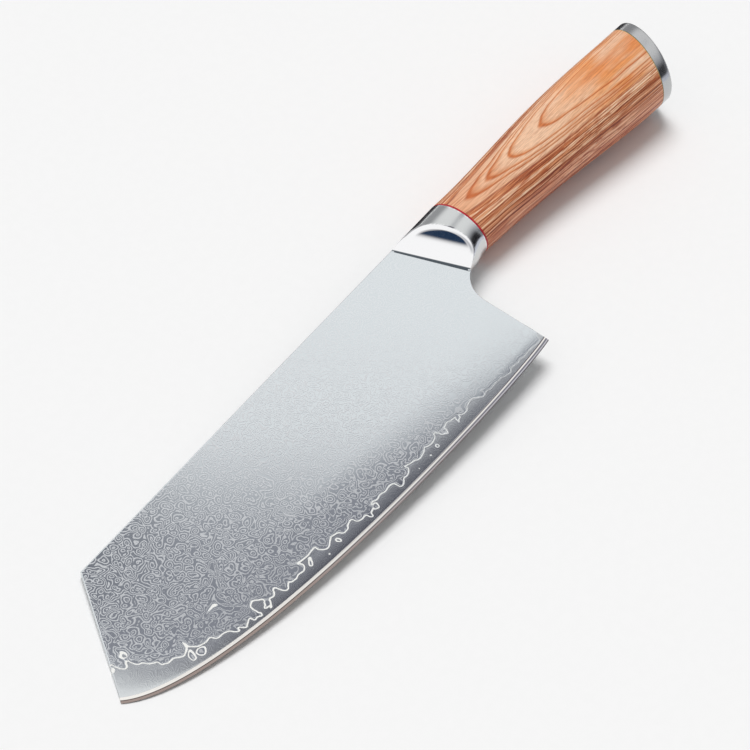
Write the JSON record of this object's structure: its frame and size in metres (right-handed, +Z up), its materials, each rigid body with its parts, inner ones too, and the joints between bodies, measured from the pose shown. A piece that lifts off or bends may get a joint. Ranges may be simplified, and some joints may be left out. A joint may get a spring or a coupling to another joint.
{
  "type": "kitchen knife",
  "caption": "Kitchen knife with a tall layered blade clipped at the front, a hollow-ground steel bolster, an oval wooden grip and a slanted steel end cap.",
  "frame": {"origin": "the middle of the bounding box's bottom face, on the table that the knife lies on", "axes": "+X from the tip towards the butt, +Y from the cutting edge towards the spine, +Z up out of the blade's left side"},
  "size_m": [0.3036, 0.06, 0.025],
  "materials": {
    "core_steel": "plain ground steel, bright along the sharpened bevel",
    "cladding_steel": "patterned steel, etched to a soft satin",
    "bolster_steel": "polished steel",
    "red_liner": "crimson fibre sheet, edge polished with the wood",
    "grip_wood": "tan and orange-brown laminated wood, satin",
    "cap_steel": "brushed steel",
    "pin_steel": "plain turned steel",
    "tang_steel": "unfinished steel",
    "bedding_resin": "set adhesive",
    "clamp_steel": "plain steel"
  },
  "bodies": {
    "root": {"core_blade": "core_steel", "cladding_left": "cladding_steel", "cladding_right": "cladding_steel", "bolster": "bolster_steel", "front_liner": "red_liner", "grip": "grip_wood", "end_cap": "cap_steel", "cap_pin_upper": "pin_steel", "cap_pin_lower": "pin_steel", "tang": "tang_steel", "bedding": "bedding_resin", "clamp_washer": "clamp_steel", "clamp_nut": "clamp_steel"}
  },
  "joints": []
}
